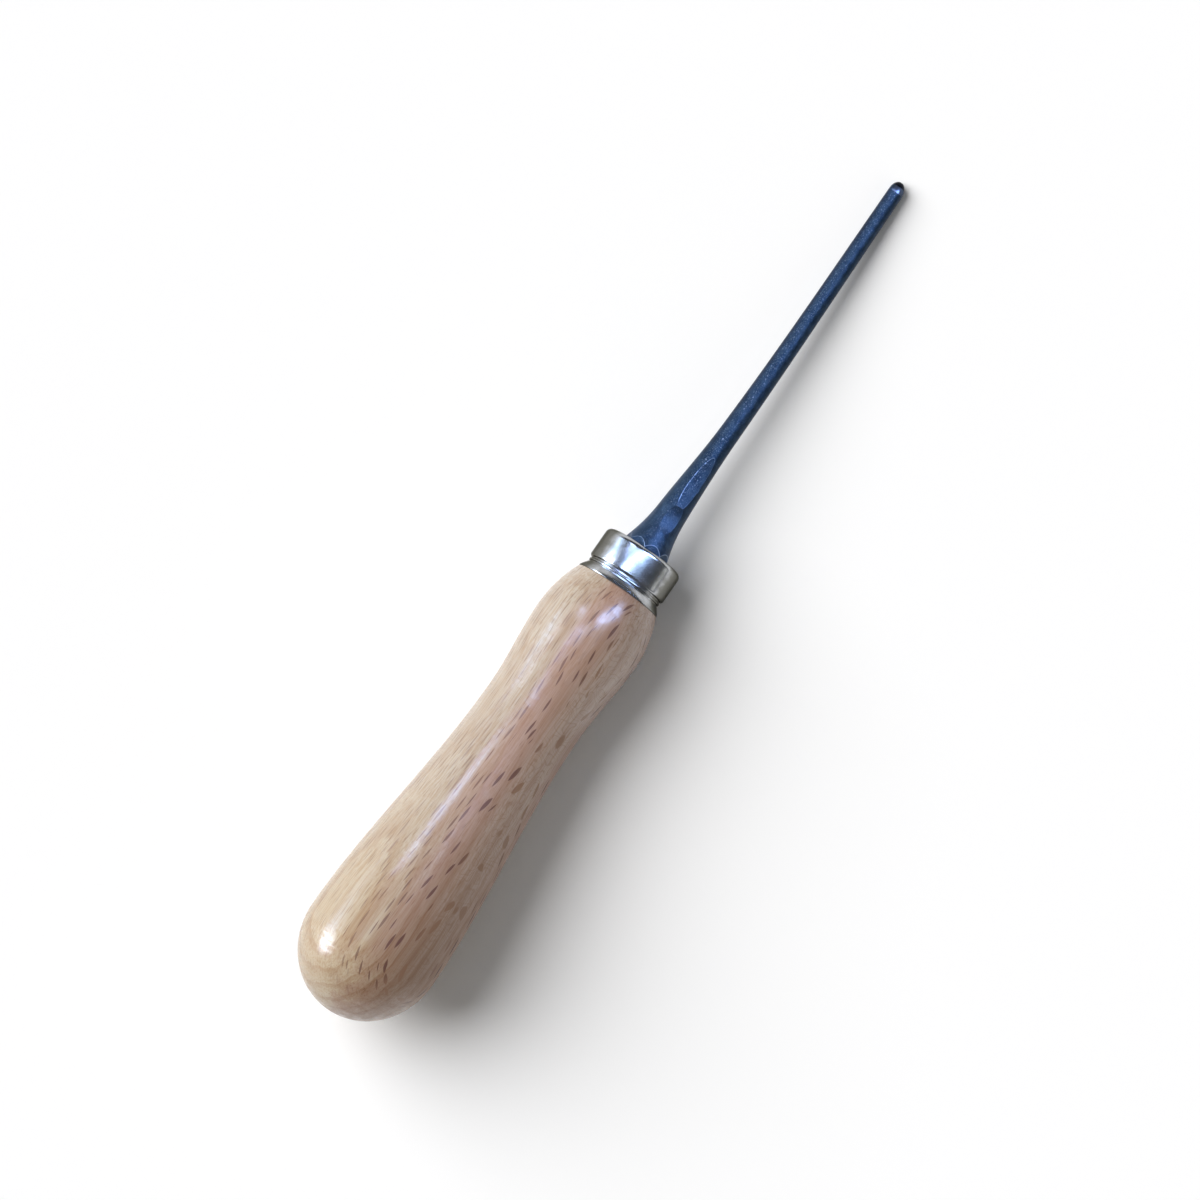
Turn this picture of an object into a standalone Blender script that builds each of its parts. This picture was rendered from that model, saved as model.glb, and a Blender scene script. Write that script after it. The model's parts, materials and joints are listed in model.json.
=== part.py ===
"""Carving chisel: a forged blade set by its tang into a turned beech handle with a pressed steel ferrule.

The pieces are built along +X about the tool's own axis, with X = 0 on the ferrule's front face and the blade
towards +X. They hang on one empty, which then lays the tool on its side: it rests on the belly and the shoulder
of the handle, over the origin. All sizes are in metres and all angles in degrees.
"""

import math
from typing import NamedTuple

import bmesh
import bpy
from mathutils import Matrix, Vector

# Handle. The butt is half an ellipsoid, and the rest is drawn through the belly, waist, shoulder and neck.
HANDLE_LENGTH = 0.1000
BELLY_DIAMETER = 0.0260
BELLY_FROM_BUTT = 0.0140
WAIST_DIAMETER = 0.0189
WAIST_FROM_FACE = 0.0350
SHOULDER_DIAMETER = 0.0210
SHOULDER_FROM_FACE = 0.0185
NECK_FALL = 0.45

# Ferrule. Its lengths run back from the front face.
FERRULE_LENGTH = 0.0087
BAND_DIAMETER = 0.0157
BAND_LENGTH = 0.0061
BAND_EDGE_RADIUS = 0.0004
FRONT_CORNER_RADIUS = 0.0010
GROOVE_DIAMETER = 0.0146
GROOVE_WIDTH = 0.0011
BEAD_RADIUS = 0.00025
SKIRT_DIAMETER = 0.0150
RIM_DIAMETER = 0.0168
SKIRT_FALL = 0.75
RIM_FALL = 0.40
SHEET = 0.0006
SEAT_DIAMETER = 0.0102
SEAT_DEPTH = 0.0002

# Blade. Its lengths run forward from the ferrule's front face.
BLADE_LENGTH = 0.0815
FLARE_DIAMETER = 0.0094
FLARE_FALL = 0.36
FLARE_LENGTH = 0.0085
THROAT_DIAMETER = 0.00584
THROAT_FALL = 0.06
SHANK_START = 0.0260
SHANK_DIAMETER = 0.00394
SHANK_FALL = 0.018
POINT_DIAMETER = 0.0029
POINT_FALL = 0.008
BOLSTER_FLATS = 0.0083
BOLSTER_TURN = 37.0
BOW_AT_SHANK = 0.00034
BOW_RISE = 0.018
BOW_AT_POINT = 0.0002
NOSE_LENGTH = 0.0021
NOSE_SKEW = 0.00012
NOSE_SWELL = 1.5
BEVEL_ROUNDING = 0.7
EDGE_THICKNESS = 0.00016
EDGE_WIDTH = 0.0005

# The two flats ground by a wheel into the upper side of the throat, one behind the other.
LONG_FLAT_START = 0.0092
LONG_FLAT_END = 0.0204
LONG_FLAT_DEPTH = 0.00030
SHORT_FLAT_START = 0.0043
SHORT_FLAT_END = 0.0102
SHORT_FLAT_DEPTH = 0.00034
FLAT_TURN = 12.0
FLAT_ROOM = 0.0030

# Tang, inside the handle.
TANG_LENGTH = 0.0550
TANG_ROOT = 0.0038
TANG_END = 0.0022
BORE_POINT = 0.0012

# Free space that every fit keeps between its two pieces.
CLEARANCE = 0.0003

# Fineness of the curved surfaces.
SIDES = 48
CURVE_STEPS = 9
CORNER_STEPS = 4


class Station(NamedTuple):
    """A place along the axis with a value there and its slope."""

    x: float
    value: float
    slope: float


def hermite(start, end, x):
    """Value at x of the cubic that runs from one station to the next with their slopes."""
    span = end.x - start.x
    t = (x - start.x) / span
    rest = 1.0 - t
    return (
        start.value * (1.0 + 2.0 * t) * rest * rest
        + start.slope * span * t * rest * rest
        + end.value * t * t * (3.0 - 2.0 * t)
        - end.slope * span * t * t * rest
    )


def spaced(start, end, steps):
    """Evenly spaced places after the start, up to and with the end."""
    return [start + (end - start) * i / steps for i in range(1, steps + 1)]


def curve(start, end, steps=CURVE_STEPS):
    """Profile points after the first station, up to and with the second."""
    return [(x, hermite(start, end, x)) for x in spaced(start.x, end.x, steps)]


def arc(centre_x, centre_r, radius, start, end, steps=CORNER_STEPS):
    """Profile points on an arc, with the angle in degrees from +X towards the outside."""
    angles = [math.radians(start)] + [math.radians(a) for a in spaced(start, end, steps)]
    return [(centre_x + radius * math.cos(a), centre_r + radius * math.sin(a)) for a in angles]


def tang_corner(size):
    """Half the diagonal of a square tang of this size."""
    return size / math.sqrt(2.0)


def wood_outline():
    """Visible outline of the wood, from the point of the butt to the step where the ferrule begins."""
    butt = -HANDLE_LENGTH
    belly = Station(butt + BELLY_FROM_BUTT, BELLY_DIAMETER / 2.0, 0.0)
    waist = Station(-WAIST_FROM_FACE, WAIST_DIAMETER / 2.0, 0.0)
    shoulder = Station(-SHOULDER_FROM_FACE, SHOULDER_DIAMETER / 2.0, 0.0)
    neck = Station(-FERRULE_LENGTH - CLEARANCE, RIM_DIAMETER / 2.0, -NECK_FALL)
    outline = [(butt, 0.0)]
    for angle in spaced(0.0, 90.0, CURVE_STEPS):
        turn = math.radians(angle)
        outline.append((belly.x - BELLY_FROM_BUTT * math.cos(turn), belly.value * math.sin(turn)))
    return outline + curve(belly, waist) + curve(waist, shoulder) + curve(shoulder, neck)


def handle_profile():
    """Outline of the wood, then the spigot under the ferrule with its crimp groove, then the tang bore."""
    inset = SHEET + CLEARANCE
    groove = GROOVE_DIAMETER / 2.0 - inset
    spigot = BAND_DIAMETER / 2.0 - inset
    mouth = tang_corner(TANG_ROOT) + CLEARANCE
    bottom = tang_corner(TANG_END) + CLEARANCE
    bottom_x = -TANG_LENGTH - CLEARANCE
    outline = wood_outline()
    outline.append((outline[-1][0], RIM_DIAMETER / 2.0 - inset))
    outline.append((-BAND_LENGTH - GROOVE_WIDTH - CLEARANCE, groove))
    outline.append((-BAND_LENGTH + CLEARANCE, groove))
    outline.append((-BAND_LENGTH + inset, spigot))
    outline.append((-SEAT_DEPTH - inset, spigot))
    outline.append((-SEAT_DEPTH - inset, mouth))
    outline.append((bottom_x, bottom))
    outline.append((bottom_x - BORE_POINT, 0.0))
    return outline


def ferrule_outline():
    """Outer side of the ferrule, from the front face to the rim of the skirt."""
    band = BAND_DIAMETER / 2.0
    groove = GROOVE_DIAMETER / 2.0
    groove_end = -BAND_LENGTH - GROOVE_WIDTH
    bead_x = -BAND_LENGTH - GROOVE_WIDTH / 2.0
    skirt = Station(groove_end, SKIRT_DIAMETER / 2.0, -SKIRT_FALL)
    rim = Station(-FERRULE_LENGTH, RIM_DIAMETER / 2.0, -RIM_FALL)
    outline = arc(-FRONT_CORNER_RADIUS, band - FRONT_CORNER_RADIUS, FRONT_CORNER_RADIUS, 0.0, 90.0)
    outline += arc(-BAND_LENGTH + BAND_EDGE_RADIUS, band - BAND_EDGE_RADIUS, BAND_EDGE_RADIUS, 90.0, 180.0)
    outline.append((-BAND_LENGTH, groove))
    outline += arc(bead_x, groove, BEAD_RADIUS, 0.0, 180.0)
    outline.append((groove_end, groove))
    outline.append((skirt.x, skirt.value))
    return outline + curve(skirt, rim, CORNER_STEPS)


def ferrule_profile():
    """Closed section of the ferrule's sheet, with the bolster's seat pressed into the front."""
    hole = tang_corner(TANG_ROOT) + CLEARANCE
    seat = SEAT_DIAMETER / 2.0
    inside = BAND_DIAMETER / 2.0 - SHEET
    groove = GROOVE_DIAMETER / 2.0 - SHEET
    front = [(-SEAT_DEPTH - SHEET, hole), (-SEAT_DEPTH, hole), (-SEAT_DEPTH, seat), (0.0, seat + SEAT_DEPTH)]
    back = [
        (-FERRULE_LENGTH, RIM_DIAMETER / 2.0 - SHEET),
        (-BAND_LENGTH - GROOVE_WIDTH, groove),
        (-BAND_LENGTH, groove),
        (-BAND_LENGTH + SHEET, inside),
        (-SEAT_DEPTH - SHEET, inside),
    ]
    return front + ferrule_outline() + back


def blade_stations():
    """Stations of the blade's radius and of the sideways bow of its centre line, from bolster to nose."""
    seat = CLEARANCE - SEAT_DEPTH
    point = BLADE_LENGTH - NOSE_LENGTH
    radii = [
        Station(seat, FLARE_DIAMETER / 2.0, -FLARE_FALL),
        Station(FLARE_LENGTH, THROAT_DIAMETER / 2.0, -THROAT_FALL),
        Station(SHANK_START, SHANK_DIAMETER / 2.0, -SHANK_FALL),
        Station(point, POINT_DIAMETER / 2.0, -POINT_FALL),
    ]
    bows = [
        Station(seat, 0.0, 0.0),
        Station(FLARE_LENGTH, 0.0, 0.0),
        Station(SHANK_START, BOW_AT_SHANK, BOW_RISE),
        Station(point, BOW_AT_POINT, -POINT_FALL),
    ]
    return radii, bows


def blade_radius(x):
    """Radius of the blade behind the nose at this place."""
    radii, _ = blade_stations()
    for start, end in zip(radii, radii[1:]):
        if x <= end.x:
            return hermite(start, end, x)
    return radii[-1].value


def square_ring(x, size):
    """Ring of points round a square section, with its sides level and upright."""
    ring = []
    for i in range(SIDES):
        angle = 2.0 * math.pi * i / SIDES
        y, z = math.cos(angle), math.sin(angle)
        reach = size / 2.0 / max(abs(y), abs(z))
        ring.append((x, y * reach, z * reach))
    return ring


def oval_ring(x, side, half_width, half_height):
    """Ring of points round an oval section whose centre stands off the axis, towards -Y."""
    ring = []
    for i in range(SIDES):
        angle = 2.0 * math.pi * i / SIDES
        ring.append((x, half_width * math.cos(angle) - side, half_height * math.sin(angle)))
    return ring


def blade_rings():
    """All rings of the blade, from the end of the tang to the edge of the nose."""
    radii, bows = blade_stations()
    seat, point = radii[0], radii[-1]
    rings = [square_ring(-TANG_LENGTH, TANG_END), square_ring(seat.x, TANG_ROOT)]
    rings.append(oval_ring(seat.x, 0.0, seat.value, seat.value))
    for index in range(len(radii) - 1):
        for x in spaced(radii[index].x, radii[index + 1].x, CURVE_STEPS):
            radius = hermite(radii[index], radii[index + 1], x)
            rings.append(oval_ring(x, hermite(bows[index], bows[index + 1], x), radius, radius))
    edge = EDGE_THICKNESS / 2.0
    last = math.acos(EDGE_WIDTH / POINT_DIAMETER)
    for turn in spaced(0.0, last, CURVE_STEPS):
        reach = math.sin(turn) / math.sin(last)
        half_height = edge + (point.value - edge) * (1.0 - reach**NOSE_SWELL) ** BEVEL_ROUNDING
        side = bows[-1].value - NOSE_SKEW * reach
        rings.append(oval_ring(point.x + NOSE_LENGTH * reach, side, point.value * math.cos(turn), half_height))
    return rings


def finish_object(name, mesh_tool, colour, roughness, metallic, parent):
    """Make the object with its own material, smooth between sharp edges, and hang it on the parent."""
    bmesh.ops.recalc_face_normals(mesh_tool, faces=mesh_tool.faces)
    mesh = bpy.data.meshes.new(name)
    mesh_tool.to_mesh(mesh)
    mesh_tool.free()
    mesh.shade_smooth()
    mesh.set_sharp_from_angle(angle=math.radians(28.0))
    material = bpy.data.materials.new(name)
    material.use_nodes = True
    shader = material.node_tree.nodes["Principled BSDF"]
    shader.inputs["Base Color"].default_value = (*colour, 1.0)
    shader.inputs["Roughness"].default_value = roughness
    shader.inputs["Metallic"].default_value = metallic
    mesh.materials.append(material)
    made = bpy.data.objects.new(name, mesh)
    bpy.context.scene.collection.objects.link(made)
    made.parent = parent
    return made


def turned(profile, closed):
    """Spin a profile of (x, radius) points once round the X axis, with a flat side at the bottom."""
    mesh_tool = bmesh.new()
    start = math.pi / SIDES
    verts = [mesh_tool.verts.new((x, r * math.sin(start), -r * math.cos(start))) for x, r in profile]
    pairs = list(zip(verts, verts[1:]))
    if closed:
        pairs.append((verts[-1], verts[0]))
    edges = [mesh_tool.edges.new(pair) for pair in pairs]
    bmesh.ops.spin(
        mesh_tool,
        geom=verts + edges,
        cent=(0.0, 0.0, 0.0),
        axis=(1.0, 0.0, 0.0),
        angle=2.0 * math.pi,
        steps=SIDES,
        use_merge=True,
    )
    bmesh.ops.remove_doubles(mesh_tool, verts=mesh_tool.verts, dist=1e-6)
    bmesh.ops.dissolve_degenerate(mesh_tool, edges=mesh_tool.edges, dist=1e-6)
    return mesh_tool


def skinned(rings):
    """Close the rings, each with as many points as the next, into one body with a cap at both ends."""
    mesh_tool = bmesh.new()
    loops = [[mesh_tool.verts.new(point) for point in ring] for ring in rings]
    for near, far in zip(loops, loops[1:]):
        for i in range(len(near)):
            j = (i + 1) % len(near)
            mesh_tool.faces.new((near[i], near[j], far[j], far[i]))
    mesh_tool.faces.new(loops[0])
    mesh_tool.faces.new(loops[-1])
    return mesh_tool


def cutter(name, mesh_tool, parent):
    """Object that only shapes another one and is never rendered."""
    tool = finish_object(name, mesh_tool, (0.5, 0.5, 0.5), 0.5, 0.0, parent)
    tool.hide_render = True
    tool.display_type = "WIRE"
    return tool


def octagon_bar(parent):
    """The octagonal bar that the bolster keeps the flats of, longer than the whole blade."""
    corner = BOLSTER_FLATS / 2.0 / math.cos(math.pi / 8.0)
    rings = []
    for x in (-TANG_LENGTH - BOLSTER_FLATS, BLADE_LENGTH + BOLSTER_FLATS):
        angles = [math.radians(BOLSTER_TURN) + math.pi * i / 4.0 for i in range(8)]
        rings.append([(x, corner * math.cos(a), corner * math.sin(a)) for a in angles])
    return cutter("bolster_bar", skinned(rings), parent)


def grinding_wheel(name, start, end, depth, parent):
    """The part of a wheel that grinds a flat: through both its ends, and deeper between them."""
    start_r, end_r = blade_radius(start), blade_radius(end)
    middle = (start + end) / 2.0
    chord = Vector((end - start, end_r - start_r))
    sagitta = (start_r + end_r) / 2.0 - blade_radius(middle) + depth
    radius = chord.length ** 2 / (8.0 * sagitta) + sagitta / 2.0
    out = Vector((-chord.y, chord.x)).normalized()
    centre = Vector((middle, (start_r + end_r) / 2.0)) + out * (radius - sagitta)
    half = math.asin(chord.length / (2.0 * radius)) * 1.25
    outline = []
    for angle in [-half] + spaced(-half, half, 2 * CURVE_STEPS):
        reach = Matrix.Rotation(angle, 2) @ (-out * radius)
        outline.append(centre + reach)
    outline.append(outline[-1] + out * FLAT_ROOM)
    outline.append(outline[0] + out * FLAT_ROOM)
    rings = [[(p.x, y, p.y) for p in outline] for y in (-FLAT_ROOM, FLAT_ROOM)]
    wheel = cutter(name, skinned(rings), parent)
    wheel.rotation_euler.x = math.radians(FLAT_TURN)
    return wheel


def shape_with(target, tool, operation):
    """Boolean of the target with a hidden cutter."""
    modifier = target.modifiers.new(tool.name, "BOOLEAN")
    modifier.operation = operation
    modifier.solver = "EXACT"
    modifier.object = tool


def support_tilt(points):
    """Angle of the line over the waist that the tool lies on, found on the hull of its outline."""
    hull = []
    for x, r in sorted(points):
        while len(hull) > 1:
            (ax, ar), (bx, br) = hull[-2], hull[-1]
            if (bx - ax) * (r - ar) < (br - ar) * (x - ax):
                break
            hull.pop()
        hull.append((x, r))
    flat = math.cos(math.pi / SIDES)
    for (ax, ar), (bx, br) in zip(hull, hull[1:]):
        if ax <= -WAIST_FROM_FACE <= bx:
            return math.atan2((ar - br) * flat, bx - ax)
    return 0.0


def lie_down(rest, pieces):
    """Tilt the tool onto its belly and shoulder and set the middle of its underside on the origin."""
    rest.rotation_euler.y = support_tilt(wood_outline() + ferrule_outline() + [(BLADE_LENGTH, 0.0)])
    bpy.context.view_layer.update()
    graph = bpy.context.evaluated_depsgraph_get()
    points = []
    for piece in pieces:
        mesh = piece.evaluated_get(graph).data
        points += [piece.matrix_world @ vertex.co for vertex in mesh.vertices]
    lows = [min(point[i] for point in points) for i in range(3)]
    highs = [max(point[i] for point in points) for i in range(3)]
    rest.location = (-(lows[0] + highs[0]) / 2.0, -(lows[1] + highs[1]) / 2.0, -lows[2])


def main():
    """Clear the scene, build the three pieces on the tool's axis and lay the tool down."""
    for old in list(bpy.data.objects):
        bpy.data.objects.remove(old, do_unlink=True)
    rest = bpy.data.objects.new("tool_axis", None)
    bpy.context.scene.collection.objects.link(rest)
    handle = finish_object("handle", turned(handle_profile(), False), (0.46, 0.28, 0.16), 0.35, 0.0, rest)
    ferrule = finish_object("ferrule", turned(ferrule_profile(), True), (0.62, 0.61, 0.59), 0.25, 1.0, rest)
    blade = finish_object("blade", skinned(blade_rings()), (0.045, 0.075, 0.13), 0.4, 0.6, rest)
    shape_with(blade, octagon_bar(rest), "INTERSECT")
    long_flat = grinding_wheel("long_flat", LONG_FLAT_START, LONG_FLAT_END, LONG_FLAT_DEPTH, rest)
    short_flat = grinding_wheel("short_flat", SHORT_FLAT_START, SHORT_FLAT_END, SHORT_FLAT_DEPTH, rest)
    for wheel in (long_flat, short_flat):
        shape_with(blade, wheel, "DIFFERENCE")
    lie_down(rest, [handle, ferrule, blade])


main()
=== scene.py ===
"""Looks of the carving chisel: turned beech handle, pressed steel ferrule and forged blade.

Every piece is modelled along +X about the tool's own axis, with X = 0 on the ferrule's front face.
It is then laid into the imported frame, where it stands for the CAD node of the same place. Sizes are
in metres, angles in degrees. Inside the materials, lengths are in millimetres.
"""

import json
import logging
import math
from dataclasses import dataclass
from enum import Enum
from typing import Any, Callable, Mapping, NamedTuple, Optional, Sequence, Union

import bmesh
import bpy
from mathutils import Matrix, Vector


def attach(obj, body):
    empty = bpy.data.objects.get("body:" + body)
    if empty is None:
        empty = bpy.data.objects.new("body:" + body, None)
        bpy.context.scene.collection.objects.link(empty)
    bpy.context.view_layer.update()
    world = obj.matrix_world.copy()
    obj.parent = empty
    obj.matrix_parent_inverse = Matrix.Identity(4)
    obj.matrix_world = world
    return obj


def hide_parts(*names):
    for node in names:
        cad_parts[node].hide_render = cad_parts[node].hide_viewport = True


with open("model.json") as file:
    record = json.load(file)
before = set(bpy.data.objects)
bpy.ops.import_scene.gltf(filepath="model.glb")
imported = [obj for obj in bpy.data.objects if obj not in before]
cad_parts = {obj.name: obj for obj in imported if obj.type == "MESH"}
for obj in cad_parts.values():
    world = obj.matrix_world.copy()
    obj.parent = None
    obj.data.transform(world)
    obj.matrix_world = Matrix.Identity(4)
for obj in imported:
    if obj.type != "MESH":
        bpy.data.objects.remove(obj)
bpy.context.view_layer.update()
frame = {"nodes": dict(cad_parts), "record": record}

LOG = logging.getLogger("carving_chisel")
MILLIMETRES = 1000.0
COORD_DIGITS = 7
FACE_DEPTH = 1e-5
MERGE_DISTANCE = 1e-6
LEAST_REACH = 0.01
LEAST_AHEAD = 0.001
SAME_WAY = 0.99999
ON_WHEEL = 2e-5

Triple = tuple[float, float, float]
Colour = Triple
Point = tuple[float, float]
Piece = bpy.types.Object
Value = Union["Sock", float]
Key = Union[str, int]
Settings = Optional[Mapping[str, Any]]
Inputs = Optional[Mapping[Key, Any]]
FaceTest = Callable[[bmesh.types.BMFace], bool]


class Body(Enum):
    """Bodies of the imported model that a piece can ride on."""

    TOOL = "root"


class Node(Enum):
    """CAD nodes that the pieces stand for."""

    HANDLE = "handle"
    FERRULE = "ferrule"
    BLADE = "blade"


class Slot(Enum):
    """Material slots of the record."""

    WOOD = "wood"
    FERRULE = "ferrule_steel"
    BLADE = "blade_steel"


class Station(NamedTuple):
    """A place along the axis with a value there and its slope."""

    x: float
    value: float
    slope: float


class Section(NamedTuple):
    """A section of the blade: its place, bow, half width and half height."""

    x: float
    bow: float
    width: float
    height: float


def hermite(start: Station, end: Station, x: float) -> float:
    """Value of the cubic between two stations.

    Args:
        start: Station where the cubic begins.
        end: Station where it ends.
        x: Place between them.

    Returns:
        The value at x.
    """
    span = end.x - start.x
    t = (x - start.x) / span
    rest = 1.0 - t
    return (
        start.value * (1.0 + 2.0 * t) * rest * rest
        + start.slope * span * t * rest * rest
        + end.value * t * t * (3.0 - 2.0 * t)
        - end.slope * span * t * t * rest
    )


def spaced(start: float, end: float, steps: int) -> list[float]:
    """Evenly spaced values after the start, the end last."""
    return [start + (end - start) * i / steps for i in range(1, steps + 1)]


def curve(start: Station, end: Station, steps: int) -> list[Point]:
    """Profile points between two stations as (x, radius), without the first station."""
    return [(x, hermite(start, end, x)) for x in spaced(start.x, end.x, steps)]


def arc(centre: Point, radius: float, start: float, end: float, steps: int) -> list[Point]:
    """Profile points as (x, radius) on an arc with both ends, by angles from +X outwards."""
    angles = [math.radians(a) for a in [start] + spaced(start, end, steps)]
    return [(centre[0] + radius * math.cos(a), centre[1] + radius * math.sin(a)) for a in angles]


@dataclass(frozen=True)
class ToolAxis:
    """The tool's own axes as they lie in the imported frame."""

    matrix: Matrix

    @classmethod
    def from_frame(cls) -> "ToolAxis":
        """Find the axis from the ferrule's mount, and the origin from the points of its face.

        Returns:
            The axes, with the origin in the middle of the ferrule's front face.
        """
        along = Vector(frame["record"]["mounts"][0]["axis"]).normalized()
        ferrule = frame["nodes"][Node.FERRULE.value]
        points = {tuple(round(c, COORD_DIGITS) for c in v.co) for v in ferrule.data.vertices}
        front = max(Vector(p).dot(along) for p in points)
        face = [Vector(p) for p in points if front - Vector(p).dot(along) < FACE_DEPTH]
        centre = sum(face, Vector()) / len(face)
        left = Vector((0.0, 1.0, 0.0))
        up = along.cross(left).normalized()
        turn = Matrix((along, up.cross(along), up)).transposed()
        return cls(Matrix.Translation(centre) @ turn.to_4x4())

    def direction(self, along: float, left: float, up: float) -> Vector:
        """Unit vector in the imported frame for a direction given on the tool's axes."""
        return (self.matrix.to_3x3() @ Vector((along, left, up))).normalized()

    def towards(self, left: float, forward: float) -> Vector:
        """Direction from the tool, by its angles from the tool's upright, left and forward."""
        return self.direction(math.tan(math.radians(forward)), math.tan(math.radians(left)), 1.0)


def arithmetic(operation: str) -> Callable[["Sock", Value], "Sock"]:
    """Method that joins a socket and another value with a Math node."""
    return lambda sock, other: sock.graph.math(operation, sock, other)


@dataclass(frozen=True)
class Sock:
    """A shader socket, with the graph that it belongs to, that takes part in Python arithmetic."""

    graph: "Graph"
    socket: bpy.types.NodeSocket

    __add__ = __radd__ = arithmetic("ADD")
    __mul__ = __rmul__ = arithmetic("MULTIPLY")
    __sub__ = arithmetic("SUBTRACT")
    __truediv__ = arithmetic("DIVIDE")

    def __rsub__(self, other: Value) -> "Sock":
        """Difference with a plain number first."""
        return self.graph.math("SUBTRACT", other, self)

    def __abs__(self) -> "Sock":
        """Value without its sign."""
        return self.graph.math("ABSOLUTE", self)

    def over(self, low: float, high: float) -> "Sock":
        """Smooth step.

        Args:
            low: Value that gives 0.
            high: Value that gives 1, which may be the lower of the two.

        Returns:
            The step, from 0 to 1.
        """
        if low > high:
            return 1.0 - self.over(high, low)
        inputs = {"Value": self, "From Min": low, "From Max": high}
        return self.graph.add("ShaderNodeMapRange", {"interpolation_type": "SMOOTHSTEP"}, inputs)


class Graph:
    """Node tree of a material or of the world."""

    def __init__(self, tree: bpy.types.NodeTree) -> None:
        """Take over a node tree and empty it."""
        self.tree = tree
        tree.nodes.clear()

    def node(self, kind: str, settings: Settings = None, inputs: Inputs = None) -> bpy.types.Node:
        """Make a node.

        Args:
            kind: Type name of the node.
            settings: Properties, set first.
            inputs: Values or sockets by input name or number.

        Returns:
            The node.
        """
        node = self.tree.nodes.new(kind)
        for name, setting in (settings or {}).items():
            setattr(node, name, setting)
        for name, value in (inputs or {}).items():
            self._feed(node.inputs[name], value)
        return node

    def add(
        self, kind: str, settings: Settings = None, inputs: Inputs = None, output: Key = 0
    ) -> Sock:
        """Make a node and take one of its outputs, by name or number."""
        return Sock(self, self.node(kind, settings, inputs).outputs[output])

    def _feed(self, socket: bpy.types.NodeSocket, value: Any) -> None:
        """Link a socket to an input, or set the input's own value.

        Args:
            socket: The input.
            value: Socket, colour or number for it.
        """
        if isinstance(value, Sock):
            self.tree.links.new(value.socket, socket)
        elif socket.type == "RGBA":
            socket.default_value = (*value, 1.0)
        else:
            socket.default_value = value

    def math(self, operation: str, first: Value, second: Value = 0.0) -> Sock:
        """Add a Math node and return its result."""
        return self.add("ShaderNodeMath", {"operation": operation}, {0: first, 1: second})

    def mix(self, share: Value, first: Any, second: Any, blend: str = "MIX") -> Sock:
        """Mix two colours or sockets, by the share of the second one."""
        settings = {"data_type": "RGBA", "blend_type": blend}
        return self.add("ShaderNodeMix", settings, {0: share, 6: first, 7: second}, 2)

    def vector(self, x: Value, y: Value, z: Value) -> Sock:
        """Join three values into a vector."""
        return self.add("ShaderNodeCombineXYZ", None, {0: x, 1: y, 2: z})

    def dot(self, vector: Sock, direction: Vector) -> Sock:
        """Share of a vector along a fixed direction."""
        inputs = {0: vector, 1: tuple(direction)}
        return self.add("ShaderNodeVectorMath", {"operation": "DOT_PRODUCT"}, inputs, "Value")

    def cells(self, vector: Sock) -> tuple[Sock, Sock]:
        """Scattered spots.

        Args:
            vector: Place in the pattern, with one spot in each unit cell.

        Returns:
            Distance to the nearest spot, and a value that is the same all over that spot's cell.
        """
        node = self.node("ShaderNodeTexVoronoi", None, {"Vector": vector, "Scale": 1.0})
        kind, _, _ = self.split(Sock(self, node.outputs["Color"]))
        return Sock(self, node.outputs["Distance"]), kind

    def split(self, colour: Sock) -> list[Sock]:
        """Red, green and blue of a colour."""
        parts = self.node("ShaderNodeSeparateColor", None, {0: colour})
        return [Sock(self, output) for output in parts.outputs]

    def chance(self, vector: Sock) -> list[Sock]:
        """Three chance values between 0 and 1 that belong to a vector."""
        kind, settings = "ShaderNodeTexWhiteNoise", {"noise_dimensions": "3D"}
        return self.split(self.add(kind, settings, {"Vector": vector}, "Color"))

    def bump(self, height: Sock, depth: float, strength: float = 1.0) -> Sock:
        """Normal of a relief from 0 to 1, by its depth in metres and the share that shows."""
        inputs = {"Height": height, "Distance": depth, "Strength": strength}
        return self.add("ShaderNodeBump", None, inputs, "Normal")

    def principled(self, inputs: Mapping[str, Any]) -> Sock:
        """Principled shader with the given inputs."""
        return self.add("ShaderNodeBsdfPrincipled", None, inputs, "BSDF")


@dataclass(frozen=True)
class Place:
    """Place inside a material in millimetres, on the tool's axes or on axes turned about them."""

    along: Sock
    left: Sock
    up: Sock

    @classmethod
    def on(cls, graph: Graph, tool: ToolAxis) -> "Place":
        """Read the place from the object's own coordinates.

        Args:
            graph: Graph of the material.
            tool: The tool's axes.

        Returns:
            The place.
        """
        point = graph.add("ShaderNodeTexCoord", output="Object")
        inputs = {0: point, 1: tuple(tool.matrix.translation)}
        offset = graph.add("ShaderNodeVectorMath", {"operation": "SUBTRACT"}, inputs, "Vector")
        axes = [tool.direction(1, 0, 0), tool.direction(0, 1, 0), tool.direction(0, 0, 1)]
        return cls(*(graph.dot(offset, axis * MILLIMETRES) for axis in axes))

    @property
    def graph(self) -> Graph:
        """Graph of the material."""
        return self.along.graph

    def reach(self) -> Sock:
        """Distance from the tool's axis, kept off zero."""
        return self.graph.math("SQRT", self.up * self.up + self.left * self.left) + LEAST_REACH

    def scaled(self, along: float, left: float, up: float) -> Sock:
        """Vector of the place, stretched along each axis."""
        return self.graph.vector(self.along * along, self.left * left, self.up * up)

    def noise(self, fineness: Triple, detail: float = 2.0, roughness: float = 0.5) -> Sock:
        """Soft noise.

        Args:
            fineness: Fineness along each axis, per millimetre.
            detail: Number of finer layers.
            roughness: Strength of the finer layers.

        Returns:
            Noise around 0.5.
        """
        inputs = {"Scale": 1.0, "Detail": detail, "Roughness": roughness}
        inputs["Vector"] = self.scaled(*fineness)
        return self.graph.add("ShaderNodeTexNoise", None, inputs, "Fac")


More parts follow.
